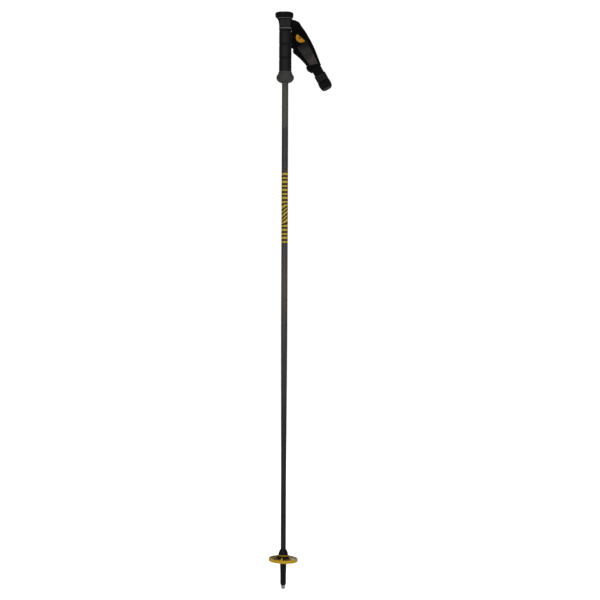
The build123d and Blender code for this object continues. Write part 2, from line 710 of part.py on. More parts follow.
with BuildPart() as strap_end_tab:
    TAB_T = (-19.6, 7.6)
    TAB_N = (-5.8, 0.8)
    with BuildSketch(FACE_PLANE.offset(TAB_N[0])) as tab_outline:
        with Locations((sum(TAB_S) / 2, sum(TAB_T) / 2)):
            Rectangle(TAB_S[1] - TAB_S[0], TAB_T[1] - TAB_T[0])
        fillet(tab_outline.vertices().sort_by(Axis.X)[-2:], radius=9.0)
    extrude(amount=TAB_N[1] - TAB_N[0])
    broad_edges = strap_end_tab.faces().filter_by(Axis.Y).edges()
    fillet(broad_edges, radius=1.2)
strap_end_tab.part.label = "strap_end_tab"
export_step(strap_end_tab.part, "parts/strap_end_tab.step")


LOOPS = {
    # name: span in s, outer t, outer n, window n
    "strap_slider": ((91.0, 102.5), (-25.4, 7.0), (-6.9, -1.8), (-5.5, -3.1)),
    "strap_keeper": ((119.0, 134.6), (-18.8, 6.8), (-6.7, 1.7), (-5.6, 0.6)),
}
for loop_name, (span, outer_t, outer_n, window_n) in LOOPS.items():
    with BuildPart() as strap_loop:
        with BuildSketch(FACE_PLANE.offset(outer_n[0])):
            with Locations((sum(span) / 2, sum(outer_t) / 2)):
                RectangleRounded(span[1] - span[0], outer_t[1] - outer_t[0], 1.6)
        extrude(amount=outer_n[1] - outer_n[0])
        window_length = 2 * (span[1] - span[0])
        with BuildSketch(FACE_PLANE.offset(window_n[0])):
            with Locations((sum(span) / 2, sum(WEBBING_T) / 2)):
                Rectangle(window_length, WEBBING_T[1] - WEBBING_T[0] + 2 * LOOP_GAP)
        extrude(amount=window_n[1] - window_n[0], mode=Mode.SUBTRACT)
    strap_loop.part.label = loop_name
    export_step(strap_loop.part, f"parts/{loop_name}.step")
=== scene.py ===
import json
import math

import bpy
from mathutils import Matrix, Vector, noise


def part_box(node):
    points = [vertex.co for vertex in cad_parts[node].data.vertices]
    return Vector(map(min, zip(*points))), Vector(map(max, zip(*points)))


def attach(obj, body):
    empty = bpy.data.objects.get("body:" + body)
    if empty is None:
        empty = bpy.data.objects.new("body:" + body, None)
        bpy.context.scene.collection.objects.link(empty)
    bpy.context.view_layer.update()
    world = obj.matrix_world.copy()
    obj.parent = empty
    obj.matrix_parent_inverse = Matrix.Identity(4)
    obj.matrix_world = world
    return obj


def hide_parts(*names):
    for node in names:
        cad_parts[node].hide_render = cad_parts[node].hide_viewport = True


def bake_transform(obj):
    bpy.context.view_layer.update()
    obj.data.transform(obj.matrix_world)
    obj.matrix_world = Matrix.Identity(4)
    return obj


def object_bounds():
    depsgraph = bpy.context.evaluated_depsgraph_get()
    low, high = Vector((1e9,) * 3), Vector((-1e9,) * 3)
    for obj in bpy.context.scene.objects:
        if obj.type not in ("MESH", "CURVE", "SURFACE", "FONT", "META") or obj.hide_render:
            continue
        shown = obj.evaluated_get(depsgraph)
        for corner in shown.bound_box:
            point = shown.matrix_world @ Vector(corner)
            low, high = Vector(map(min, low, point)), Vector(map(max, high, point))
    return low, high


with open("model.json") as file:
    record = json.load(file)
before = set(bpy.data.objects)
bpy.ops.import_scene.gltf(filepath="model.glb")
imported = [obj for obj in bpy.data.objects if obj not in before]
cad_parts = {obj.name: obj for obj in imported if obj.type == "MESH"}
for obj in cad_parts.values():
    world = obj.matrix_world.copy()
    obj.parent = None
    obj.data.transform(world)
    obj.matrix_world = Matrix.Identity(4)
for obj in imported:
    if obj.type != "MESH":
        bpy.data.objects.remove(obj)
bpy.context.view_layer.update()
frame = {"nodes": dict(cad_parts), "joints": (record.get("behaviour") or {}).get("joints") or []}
nodes = frame["nodes"]
MM = 0.001
STRAP_TOP = (0.0223, 1.2232)  # x and z of the point that the strap's own frame starts from

# ---- camera, light and floor ---------------------------------------------------
# The camera looks along +Y at the pole's mid height, a little to its strap side.

scene = bpy.context.scene
pole_low, pole_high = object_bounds()
CAMERA_RISE = 0.0011
MID_HEIGHT = (pole_low.z + pole_high.z) / 2 + CAMERA_RISE
CAMERA_DISTANCE = 2.76
CAMERA_SIDE = 0.0341
CAMERA_ROLL = math.radians(0.235)
CAMERA_LENS = 76.323

camera_data = bpy.data.cameras.new("camera")
camera_data.lens = CAMERA_LENS
camera_data.sensor_width = 36.0
camera = bpy.data.objects.new("camera", camera_data)
camera.location = (CAMERA_SIDE, -CAMERA_DISTANCE, MID_HEIGHT)
upright = Matrix.Rotation(math.pi / 2, 3, "X")
camera.rotation_euler = (upright @ Matrix.Rotation(CAMERA_ROLL, 3, "Z")).to_euler()
scene.collection.objects.link(camera)
scene.camera = camera
scene.view_settings.view_transform = "Standard"


def area_light(name, place, aim, size, watts):
    data = bpy.data.lights.new(name, "AREA")
    data.shape = "RECTANGLE"
    data.size, data.size_y = size
    data.energy = watts
    lamp = bpy.data.objects.new(name, data)
    lamp.location = place
    lamp.rotation_euler = (Vector(aim) - Vector(place)).to_track_quat("-Z", "Y").to_euler()
    scene.collection.objects.link(lamp)


area_light("key", (-0.28, -2.5, 1.2), (0, 0, 0.75), (0.7, 2.0), 26)
area_light("fill", (1.9, -1.6, 0.9), (0, 0, 0.7), (0.7, 2.0), 5)
area_light("top", (0.1, -0.5, 3.0), (0, 0, 0.6), (1.6, 1.6), 12)
area_light("rear", (0.5, 2.4, 1.5), (0, 0, 0.7), (1.4, 2.0), 15)

world = bpy.data.worlds.new("studio")
world.use_nodes = True
scene.world = world
world_nodes = world.node_tree.nodes
world_links = world.node_tree.links
backdrop = world_nodes["Background"]
backdrop.inputs["Color"].default_value = (1, 1, 1, 1)
backdrop.inputs["Strength"].default_value = 1.02
room = world_nodes.new("ShaderNodeBackground")
room.inputs["Color"].default_value = (0.97, 0.98, 1.0, 1)
room.inputs["Strength"].default_value = 0.23
path_node = world_nodes.new("ShaderNodeLightPath")
chooser = world_nodes.new("ShaderNodeMixShader")
world_links.new(path_node.outputs["Is Camera Ray"], chooser.inputs[0])
world_links.new(room.outputs[0], chooser.inputs[1])
world_links.new(backdrop.outputs[0], chooser.inputs[2])
world_links.new(chooser.outputs[0], world_nodes["World Output"].inputs[0])

# ---- node helpers --------------------------------------------------------------


class Shade:
    """A material's node tree, with short calls for the nodes used here."""

    def __init__(self, name, rough, metal=0.0, specular=0.5, **constants):
        self.material = bpy.data.materials.new(name)
        self.material.use_nodes = True
        self.nodes = self.material.node_tree.nodes
        self.links = self.material.node_tree.links
        self.surface = self.nodes["Principled BSDF"]
        self.set("Roughness", rough)
        self.set("Metallic", metal)
        self.set("Specular IOR Level", specular)
        for socket, value in constants.items():
            self.set(socket.replace("_", " "), value)

    def set(self, socket, value):
        if isinstance(value, bpy.types.NodeSocket):
            self.links.new(value, self.surface.inputs[socket])
        else:
            self.surface.inputs[socket].default_value = value

    def add(self, kind, *inputs, **settings):
        node = self.nodes.new("ShaderNode" + kind)
        for key, value in settings.items():
            setattr(node, key, value)
        for place, value in enumerate(inputs):
            if value is None:
                continue
            if isinstance(value, bpy.types.NodeSocket):
                self.links.new(value, node.inputs[place])
            else:
                node.inputs[place].default_value = value
        return node.outputs[0]

    def math(self, operation, *inputs):
        return self.add("Math", *inputs, operation=operation)

    def place(self):
        """Object coordinates."""
        self.add("TexCoord")
        return self.nodes[-1].outputs["Object"]

    def axes(self, vector):
        """The three parts of a vector."""
        self.add("SeparateXYZ", vector)
        return self.nodes[-1].outputs[:3]

    def noise(self, vector, scale, detail=2.0):
        node = self.nodes.new("ShaderNodeTexNoise")
        self.links.new(vector, node.inputs["Vector"])
        node.inputs["Scale"].default_value = scale
        node.inputs["Detail"].default_value = detail
        return node.outputs["Fac"]

    def fit(self, value, low, high, to_low, to_high):
        """Linear map of a value between two ranges, clamped."""
        return self.add("MapRange", value, low, high, to_low, to_high)

    def blend(self, factor, first, second):
        """Mix of two colours."""
        node = self.nodes.new("ShaderNodeMix")
        node.data_type = "RGBA"
        for socket, value in ((0, factor), (6, first), (7, second)):
            if isinstance(value, bpy.types.NodeSocket):
                self.links.new(value, node.inputs[socket])
            elif socket:
                node.inputs[socket].default_value = (*value, 1)
            else:
                node.inputs[socket].default_value = value
        return node.outputs[2]

    def bump(self, height, distance):
        node = self.nodes.new("ShaderNodeBump")
        node.inputs["Strength"].default_value = 1.0
        node.inputs["Distance"].default_value = distance
        self.links.new(height, node.inputs["Height"])
        self.links.new(node.outputs[0], self.surface.inputs["Normal"])


def scaled(colour, factor):
    return tuple(channel * factor for channel in colour)


def moulded(name, colour, rough, grain=1400, depth=0.00005, wear=0.25, specular=0.28, **constants):
    """Plastic or rubber with a fine grain, uneven sheen and edges rubbed lighter."""
    look = Shade(name, rough, specular=specular, **constants)
    where = look.place()
    fine = look.noise(where, grain, 3)
    broad = look.noise(where, 45, 3)
    tone = look.blend(look.fit(broad, 0.3, 0.7, 0, 1), scaled(colour, 0.85), scaled(colour, 1.15))
    speckle = look.blend(look.fit(fine, 0.35, 0.75, 0, 0.5), tone, scaled(colour, 1.4))
    look.add("NewGeometry")
    edges = look.fit(look.nodes[-1].outputs["Pointiness"], 0.51, 0.6, 0, wear)
    look.set("Base Color", look.blend(edges, speckle, scaled(colour, 2.2)))
    look.set("Roughness", look.fit(broad, 0.25, 0.75, max(rough - 0.07, 0.05), min(rough + 0.08, 1)))
    look.bump(fine, depth)
    return look.material


WEAVE_DEPTH = 0.0002
PAINTED_SHADE_RUN = (179.0, 1044.0)  # what a metre along x and down z adds to the way down the painted shade
PAINTED_SHADE_SHIFT = 7.7


def woven(name, colour, pitch, ribs=1.0, fuzz=0.3, painted_shade_span=None):
    """Cloth of crossing yarns, laid along the piece's own UV map in metres, with painted shade in the yarns'
    gaps.

    Its last argument gives painted shade down the strap: where the colour starts and ends its change
    down the strap in mm, and its share of the full colour above that.
    """
    look = Shade(name, 0.92, specular=0.06, Sheen_Weight=0.012, Sheen_Roughness=0.5)
    look.add("TexCoord")
    u, v, _ = look.axes(look.nodes[-1].outputs["UV"])
    warp_count = look.math("MULTIPLY", u, 1 / (pitch * ribs))
    weft_count = look.math("MULTIPLY", v, 1 / pitch)
    warp = look.math("ABSOLUTE", look.math("SINE", look.math("MULTIPLY", warp_count, math.pi)))
    weft = look.math("ABSOLUTE", look.math("SINE", look.math("MULTIPLY", weft_count, math.pi)))
    cell = look.nodes.new("ShaderNodeTexChecker")
    cell.inputs["Scale"].default_value = 1.0
    look.links.new(look.add("CombineXYZ", warp_count, weft_count, 0.5), cell.inputs["Vector"])
    over = cell.outputs["Fac"]
    yarn = look.math("ADD", look.math("MULTIPLY", over, warp),
                     look.math("MULTIPLY", look.math("SUBTRACT", 1.0, over), weft))
    where = look.place()
    hairs = look.noise(where, 2600, 4)
    broad = look.noise(where, 60, 3)
    # painted shade: the yarns darken towards the gaps between them and lighten on their crowns
    base = look.blend(look.fit(yarn, 0.1, 0.9, 0, 1), scaled(colour, 0.45), scaled(colour, 1.2))
    tone = look.blend(look.fit(broad, 0.3, 0.75, 0, 0.4), base, scaled(colour, 1.6))
    cloth = look.blend(look.fit(hairs, 0.5, 0.8, 0, fuzz), tone, scaled(colour, 2.2))
    # painted shade: above the start of its run down the strap the cloth is darkened towards black, reaching
    # full colour at the end
    if painted_shade_span:
        x, _, z = look.axes(where)
        sideways = look.math("MULTIPLY", look.math("SUBTRACT", x, STRAP_TOP[0]), PAINTED_SHADE_RUN[0])
        lower = look.math("MULTIPLY", look.math("SUBTRACT", STRAP_TOP[1], z), PAINTED_SHADE_RUN[1])
        down = look.math("ADD", sideways, lower)
        start, end, share = painted_shade_span
        painted_shade_factor = look.fit(down, start + PAINTED_SHADE_SHIFT, end + PAINTED_SHADE_SHIFT, 1 - share, 0)
        cloth = look.blend(painted_shade_factor, cloth, (0.0, 0.0, 0.0))
    look.set("Base Color", cloth)
    height = look.math("ADD", yarn, look.math("MULTIPLY", hairs, 0.35))
    look.bump(height, WEAVE_DEPTH)
    return look.material


# ---- materials -----------------------------------------------------------------

slide_axis = next(joint["axis"] for joint in frame["joints"] if joint["name"] == "slider_slide")
LEAN = math.atan2(slide_axis[0], slide_axis[2])
MAT = {
    "cap_rubber": moulded("cap_rubber_mat", (0.0062, 0.0050, 0.0050), 0.6, specular=0.04),
    "cap_badge": moulded("cap_badge_mat", (0.020, 0.018, 0.006), 0.45, specular=0.15),
    "ring": moulded("ring_mat", (0.080, 0.0795, 0.079), 0.42, specular=0.15),
    "cap_ring": moulded("cap_ring_mat", (0.060, 0.059, 0.058), 0.45, specular=0.12),
    "head": moulded("head_mat", (0.0045, 0.0045, 0.0045), 0.6, wear=0.08, specular=0.05),
    "panel": moulded("panel_mat", (0.0072, 0.0071, 0.0070), 0.52, grain=900, depth=0.0001, specular=0.12),
    "collar": moulded("collar_mat", (0.040, 0.041, 0.0375), 0.5, specular=0.15),
    "black": moulded("black_plastic_mat", (0.0095, 0.0093, 0.0105), 0.45, specular=0.15),
    "ferrule": moulded("ferrule_mat", (0.0062, 0.0062, 0.0072), 0.48, specular=0.1),
    "slide": moulded("slide_mat", (0.0036, 0.0036, 0.0042), 0.6, specular=0.06),
    "yellow": moulded("yellow_plastic_mat", (0.50, 0.30, 0.012), 0.34, grain=500, wear=0.1, specular=0.16),
    "gloss": moulded("gloss_black_mat", (0.0085, 0.0045, 0.0015), 0.28, grain=300, depth=0.00002,
                     specular=0.12, Specular_Tint=(1.0, 0.75, 0.4, 1)),
    "badge": moulded("badge_mat", (0.36, 0.17, 0.006), 0.4, grain=700, wear=0.15, specular=0.12),
    "badge_mark": moulded("badge_mark_mat", (0.085, 0.02, 0.006), 0.45, specular=0.15),
    "steel_zinc": moulded("zinc_mat", (0.35, 0.35, 0.36), 0.34, Metallic=1.0),
    "webbing": woven("webbing_mat", (0.0050, 0.0050, 0.0056), 0.0011, ribs=0.7),
    "band": woven("band_mat", (0.0014, 0.0015, 0.0021), 0.0008),
    "lining": woven("lining_mat", (0.010, 0.010, 0.011), 0.0011, fuzz=0.6),
    "binding": woven("binding_mat", (0.0013, 0.0013, 0.0018), 0.0007, ribs=1.6),
    "grey": woven("grey_cloth_mat", (0.027, 0.027, 0.0255), 0.0009, painted_shade_span=(44.0, 55.0, 0.32)),
    "patch": woven("patch_cloth_mat", (0.048, 0.042, 0.039), 0.0007),
    "keeper": woven("keeper_mat", (0.0125, 0.0125, 0.0145), 0.0009, ribs=1.5),
    "tab": woven("tab_mat", (0.0062, 0.0062, 0.0070), 0.001),
    "lip": moulded("lip_mat", (0.026, 0.026, 0.027), 0.65, specular=0.1),
    "thread": moulded("thread_mat", (0.012, 0.012, 0.013), 0.7, grain=4000, specular=0.1),
}


def turned_steel():
    """Bare steel with the fine rings that turning leaves, and some dirt."""
    look = Shade("crown_steel_mat", 0.3, metal=1.0)
    where = look.place()
    _, _, z = look.axes(where)
    rings = look.noise(look.add("CombineXYZ", 0.0, 0.0, look.math("MULTIPLY", z, 3000.0)), 1.0, 1)
    dirt = look.noise(where, 260, 4)
    soiled = look.fit(dirt, 0.45, 0.8, 0, 0.7)
    look.set("Base Color", look.blend(soiled, (0.36, 0.36, 0.38), (0.12, 0.115, 0.11)))
    look.set("Roughness", look.fit(dirt, 0.3, 0.8, 0.24, 0.6))
    look.bump(rings, 0.00008)
    return look.material


# the tube's colour by height is painted light and shade: darker towards the bottom, with a lighter band
# about 650 mm up
SHAFT_PAINTED_SHADE_TONES = [
    # height in mm, colour
    (85, (0.0125, 0.0107, 0.0120)), (148, (0.0138, 0.0118, 0.0128)), (343, (0.0215, 0.0196, 0.0205)),
    (517, (0.0415, 0.0395, 0.0365)), (600, (0.056, 0.050, 0.046)), (647, (0.079, 0.067, 0.062)),
    (690, (0.066, 0.058, 0.054)), (733, (0.056, 0.051, 0.047)), (905, (0.042, 0.039, 0.0375)),
    (1000, (0.039, 0.038, 0.0365)),
]
UPPER_ZONE = (0.0665, 0.0640, 0.0570)
BAR_YELLOW = (0.50, 0.34, 0.028)
BAR_GAP = (0.030, 0.024, 0.012)
PAINT_TOP = 1100.0
UPPER_SLANT = 310.0  # fall of the upper zone's edge across the tube, in mm a metre
BARS_SLANT = 600.0  # the same for the bars' upper edge
BAR_TURN = 900.0  # and for the bars in the middle of the zone
BAR_PITCH = 17.3
BAR_SHIFT = 5.0


def shaft_paint():
    """Satin paint: a lighter top zone cut off at a slant, a zone of plain bars, and painted light and shade
    by height below.
    """
    look = Shade("shaft_paint_mat", 0.4, specular=0.16)
    where = look.place()
    x, _, z = look.axes(where)
    mm = look.math("MULTIPLY", z, 1000.0)
    slanted = look.math("SUBTRACT", mm, look.math("MULTIPLY", x, UPPER_SLANT))
    # painted light and shade by height
    look.add("ValToRGB", look.math("MULTIPLY", mm, 1 / PAINT_TOP))
    shaft_shade_ramp = look.nodes[-1]
    while len(shaft_shade_ramp.color_ramp.elements) < len(SHAFT_PAINTED_SHADE_TONES):
        shaft_shade_ramp.color_ramp.elements.new(0.5)
    for element, (height, tone) in zip(shaft_shade_ramp.color_ramp.elements, SHAFT_PAINTED_SHADE_TONES):
        element.position = height / PAINT_TOP
        element.color = (*tone, 1)
    colour = shaft_shade_ramp.outputs[0]
    colour = look.blend(look.fit(slanted, 999.1, 999.7, 0, 1), colour, UPPER_ZONE)
    # bars of two widths, turned to a slant in the middle of the zone
    bend = look.math("MULTIPLY", look.fit(mm, 785, 800, 0, 1), look.fit(mm, 822, 838, 1, 0))
    turned = look.math("MULTIPLY", look.math("MULTIPLY", x, bend), BAR_TURN)
    lifted = look.math("SUBTRACT", look.math("SUBTRACT", mm, turned), BAR_SHIFT)
    beat = look.math("FRACT", look.math("MULTIPLY", lifted, 1 / BAR_PITCH))
    first = look.math("MULTIPLY", look.fit(beat, 0.04, 0.07, 0, 1), look.fit(beat, 0.25, 0.28, 1, 0))
    second = look.math("MULTIPLY", look.fit(beat, 0.52, 0.55, 0, 1), look.fit(beat, 0.80, 0.83, 1, 0))
    steep = look.math("SUBTRACT", mm, look.math("MULTIPLY", x, BARS_SLANT))
    zone = look.math("MULTIPLY", look.fit(mm, 749.5, 750.1, 0, 1), look.fit(steep, 903.0, 903.6, 1, 0))
    scuffs = look.noise(where, 900, 4)
    bar = look.math("MULTIPLY", look.math("ADD", first, second), look.fit(scuffs, 0.3, 0.36, 0.75, 1))
    decal = look.blend(bar, BAR_GAP, BAR_YELLOW)
    colour = look.blend(zone, colour, decal)
    flakes = look.noise(where, 3500, 2)
    colour = look.blend(look.fit(flakes, 0.62, 0.8, 0, 0.14), colour, (0.12, 0.115, 0.11))
    look.set("Base Color", colour)
    broad = look.noise(where, 30, 3)
    look.set("Roughness", look.fit(broad, 0.3, 0.7, 0.34, 0.48))
    raised = look.math("ADD", look.math("MULTIPLY", flakes, 0.2), look.math("MULTIPLY", bar, zone))
    look.bump(raised, 0.00004)
    return look.material


GROOVES = (1149.0, 1179.3, 1208.6)  # heights of the grip's grooves in mm
PAD_X = -1.0


def grip_rubber():
    """Dark rubber, smoother on the pads where the hand holds it, with a painted highlight down the pads'
    middle and painted shade towards the grooves.
    """
    look = Shade("rubber_mat", 0.7, specular=0.09)
    where = look.place()
    x, _, z = look.axes(where)
    fine = look.noise(where, 1900, 3)
    broad = look.noise(where, 45, 3)
    # painted highlight down the middle of the front and back faces, over the pads, and painted shade towards
    # each groove
    from_middle = look.math("ABSOLUTE", look.math("ADD", x, -PAD_X * MM))
    painted_pad_light = look.fit(from_middle, 0.0040, 0.0088, 1, 0)
    for groove in GROOVES:
        gap = look.math("ABSOLUTE", look.math("SUBTRACT", z, groove * MM))
        painted_pad_light = look.math("MULTIPLY", painted_pad_light, look.fit(gap, 0.0014, 0.0042, 0, 1))
    painted_pad_light_mottle = look.math("MULTIPLY", painted_pad_light, look.fit(broad, 0.25, 0.75, 0.8, 1.0))
    tone = look.blend(painted_pad_light_mottle, (0.0062, 0.0062, 0.0062), (0.0135, 0.0135, 0.0135))
    look.set("Base Color", look.blend(look.fit(fine, 0.4, 0.8, 0, 0.3), tone, (0.022, 0.022, 0.022)))
    look.set("Roughness", look.fit(painted_pad_light_mottle, 0, 1, 0.78, 0.58))
    look.bump(fine, 0.00008)
    return look.material


MAT["rubber"] = grip_rubber()
MAT["crown"] = turned_steel()
MAT["shaft"] = shaft_paint()

CARRIED = {
    "shaft_tube": "shaft", "shaft_plug": "black", "tip_ferrule": "ferrule", "tip_crown": "crown",
    "grip_core": "head", "grip_collar": "collar", "head_ring": "ring", "cap_ring": "cap_ring",
    "grip_cap": "cap_rubber", "cap_washer": "steel_zinc", "cap_screw": "steel_zinc",
    "cap_badge": "cap_badge", "head_panel_front": "panel", "head_panel_back": "panel",
    "strap_pin": "steel_zinc", "basket_rim": "yellow", "basket_top": "gloss",
}
for node_name, key in CARRIED.items():
    mesh = nodes[node_name].data
    mesh.materials.clear()
    mesh.materials.append(MAT[key])

# ---- mesh helpers --------------------------------------------------------------


def make_piece(name, points, faces, corner_uvs, material):
    mesh = bpy.data.meshes.new(name)
    mesh.from_pydata([tuple(p) for p in points], [], faces)
    layer = mesh.uv_layers.new(name="UVMap")
    for index, uv in enumerate(corner_uvs):
        layer.data[index].uv = uv
    mesh.polygons.foreach_set("use_smooth", [True] * len(faces))
    mesh.materials.append(MAT[material])
    mesh.validate()
    mesh.update()
    obj = bpy.data.objects.new(name, mesh)
    scene.collection.objects.link(obj)
    return obj


def finish_piece(obj, body, slot, *stands_for):
    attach(obj, body)
    if stands_for:
        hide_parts(*stands_for)
    return obj


def skin(name, loops, material, ring=False):
    """Closed skin over a row of closed loops, capped unless they make a ring.

    Its UVs run round and along in metres.
    """
    count = len(loops[0])
    points = [p for loop in loops for p in loop]
    round_at = [[0.0] for _ in loops]
    for loop, marks in zip(loops, round_at):
        for k in range(count):
            marks.append(marks[-1] + (loop[(k + 1) % count] - loop[k]).length)
    along = [0.0]
    for first, second in zip(loops, loops[1:] + loops[:1]):
        along.append(along[-1] + sum((a - b).length for a, b in zip(first, second)) / count)
    faces, uvs = [], []
    rows = len(loops)
    for r in range(rows if ring else rows - 1):
        after = (r + 1) % rows
        for k in range(count):
            right = (k + 1) % count
            faces.append((r * count + k, r * count + right, after * count + right, after * count + k))
            uvs += [(round_at[r][k], along[r]), (round_at[r][k + 1], along[r]),
                    (round_at[after][k + 1], along[r + 1]), (round_at[after][k], along[r + 1])]
    if not ring:
        for row, order in ((0, -1), (rows - 1, 1)):
            base = row * count
            middle = len(points)
            points.append(sum(loops[row], Vector()) / count)
            for k in range(count):
                pair = (base + k, base + (k + 1) % count)
                faces.append((*pair[::order], middle))
                uvs += [(0, 0)] * 3
    obj = make_piece(name, points, faces, uvs, material)
    face_out(obj)
    return obj


def face_out(obj):
    """Turns the faces of a closed piece outwards."""
    mesh = obj.data
    volume = 0.0
    mesh.calc_loop_triangles()
    for tri in mesh.loop_triangles:
        a, b, c = (mesh.vertices[i].co for i in tri.vertices)
        volume += a.dot(b.cross(c))
    if volume < 0:
        mesh.flip_normals()


def smooth_step(low, high, value):
    ratio = min(max((value - low) / (high - low), 0.0), 1.0)
    return ratio * ratio * (3 - 2 * ratio)


def through(stations, value):
    """Smooth curve through (place, height) stations, read at a value."""
    if value <= stations[0][0]:
        return stations[0][1]
    for index in range(len(stations) - 1):
        (x0, y0), (x1, y1) = stations[index], stations[index + 1]
        if value <= x1:
            before = stations[max(index - 1, 0)]
            after = stations[min(index + 2, len(stations) - 1)]
            slope0 = (y1 - before[1]) / (x1 - before[0])
            slope1 = (after[1] - y0) / (after[0] - x0)
            span, u = x1 - x0, (value - x0) / (x1 - x0)
            return (y0 * (1 + 2 * u) * (1 - u) ** 2 + slope0 * span * u * (1 - u) ** 2
                    + y1 * u * u * (3 - 2 * u) + slope1 * span * u * u * (u - 1))
    return stations[-1][1]


def steps(low, high, count):
    return [low + (high - low) * i / (count - 1) for i in range(count)]


# ---- the strap's own frame: s down it, t across it, n out of its badge side, in mm ---

DOWN = Vector((math.sin(LEAN), 0, math.cos(LEAN)))
ACROSS = Vector((-DOWN.z, 0, DOWN.x))
STRAP_ORIGIN = Vector((STRAP_TOP[0], 0, STRAP_TOP[1]))


def at(s, t, n):
    return STRAP_ORIGIN + (DOWN * s + ACROSS * t) * MM + Vector((0, -n * MM, 0))


BAND_S = (0.5, 99.0)
OUTER_EDGE = [(-4, 9.6), (0.5, 9.2), (10, 9.3), (25, 10.8), (46, 11.1),
              (61, 10.7), (75, 9.3), (88, 7.7), (99, 6.3)]
INNER_EDGE = [(-4, -6.0), (0.5, -9.3), (6, -13.1), (12, -16.6), (20, -21.2), (30, -26.75), (37, -30.6),
              (41, -32.6), (43, -31.8), (44.8, -30.9), (47, -32.2), (49, -33.6), (52, -34.3),
              (56, -33.1), (65, -29.6), (75, -26.2), (88, -23.0), (99, -20.8)]


def bow(s):
    """How far the band bows out at a place down the strap."""
    middle, half = (BAND_S[0] + BAND_S[1]) / 2, (BAND_S[1] - BAND_S[0]) / 2
    return 4.8 * (1 - ((s - middle) / half) ** 2)


def pucker(s, t, amount):
    """Soft unevenness of stuffed cloth."""
    return amount * noise.noise(Vector((s * 0.11, t * 0.14, 3.7)))


def band_surface(s, t):
    """Height of the band's outer face, crowned between its bound edges."""
    low, high = through(INNER_EDGE, s), through(OUTER_EDGE, s)
    inside = max(min(t - low, high - t), 0.0)
    crown = smooth_step(0.0, 7.0, inside)
    ends = smooth_step(-1.0, 6.0, s) * smooth_step(0.0, 5.0, BAND_S[1] + 1 - s)
    return bow(s) + 2.9 + (1.1 * crown + pucker(s, t, 0.35) * crown) * ends


def band_underside(s, t):
    low, high = through(INNER_EDGE, s), through(OUTER_EDGE, s)
    inside = max(min(t - low, high - t), 0.0)
    return (bow(s) + 1.3 - 0.9 * smooth_step(0.0, 6.0, inside)
            + pucker(s + 40, t, 0.25) * smooth_step(0, 5, inside))


def flat_loop(s, low, high, top, under, across):
    """Closed cross section between an upper and an under face, with round edges."""
    marks = steps(low, high, across)
    upper = [at(s, t, top(s, t)) for t in marks]
    lower = [at(s, t, under(s, t)) for t in reversed(marks)]
    right_n = (top(s, high) + under(s, high)) / 2
    left_n = (top(s, low) + under(s, low)) / 2
    bulge = (top(s, high) - under(s, high)) * 0.42
    return upper + [at(s, high + bulge, right_n)] + lower + [at(s, low - bulge, left_n)]


# band: padded core and its lining, between the bindings
rows = steps(BAND_S[0], BAND_S[1], 120)
band = skin("strap_pad", [
    flat_loop(s, through(INNER_EDGE, s) + 1.2, through(OUTER_EDGE, s) - 1.2,
              band_surface, band_underside, 46)
    for s in rows
], "band")
finish_piece(band, "strap", "band_fabric", "strap_band")

lining = skin("strap_inner_face", [
    flat_loop(s, through(INNER_EDGE, s) + 4.4, through(OUTER_EDGE, s) - 4.4,
              lambda a, b: band_underside(a, b) + 0.3, lambda a, b: band_underside(a, b) - 0.25, 36)
    for s in steps(BAND_S[0] + 1.5, BAND_S[1] - 1.5, 110)
], "lining")
finish_piece(lining, "strap", "lining_fabric", "strap_lining")


def binding(name, edge, side, node):
    """Tape folded over one edge of the band and sewn through."""
    loops = []
    for s in steps(BAND_S[0] - 0.3, BAND_S[1] + 0.2, 220):
        rim = through(edge, s)
        wave = 0.10 * math.sin(s * 2 * math.pi / 3.0)
        outer_line, inner_line = [], []
        for reach in (5.0, 4.0, 3.0, 2.0, 1.0, 0.3):
            sunk = 0.28 * math.exp(-((reach - 3.6) / 0.5) ** 2) if reach > 2.6 else 0
            t = rim - side * reach
            n = band_surface(s, t)
            outer_line.append(at(s, t, n + 0.42 - sunk + wave * smooth_step(0, 3, reach)))
            inner_line.append(at(s, t, n - 0.1))
        middle = (band_surface(s, rim) + band_underside(s, rim)) / 2
        for angle in (60, 20, -20, -60):
            a = math.radians(angle)
            outer_t = rim + side * 0.55 * math.cos(a) - side * 0.3
            inner_t = rim + side * 0.15 * math.cos(a) - side * 0.9
            outer_line.append(at(s, outer_t, middle + 1.15 * math.sin(a)))
            inner_line.append(at(s, inner_t, middle + 0.6 * math.sin(a)))
        for reach in (0.3, 1.0, 2.0, 3.0, 4.2):
            t = rim - side * reach
            n = band_underside(s, t)
            outer_line.append(at(s, t, n - 0.4 + wave * 0.5))
            inner_line.append(at(s, t, n + 0.1))
        loops.append(outer_line + inner_line[::-1])
    obj = skin(name, loops, "binding")
    return finish_piece(obj, "strap", "binding_tape", node)


binding("strap_edge_tape_outer", OUTER_EDGE, 1, "strap_binding_outer")
binding("strap_edge_tape_inner", INNER_EDGE, -1, "strap_binding_inner")


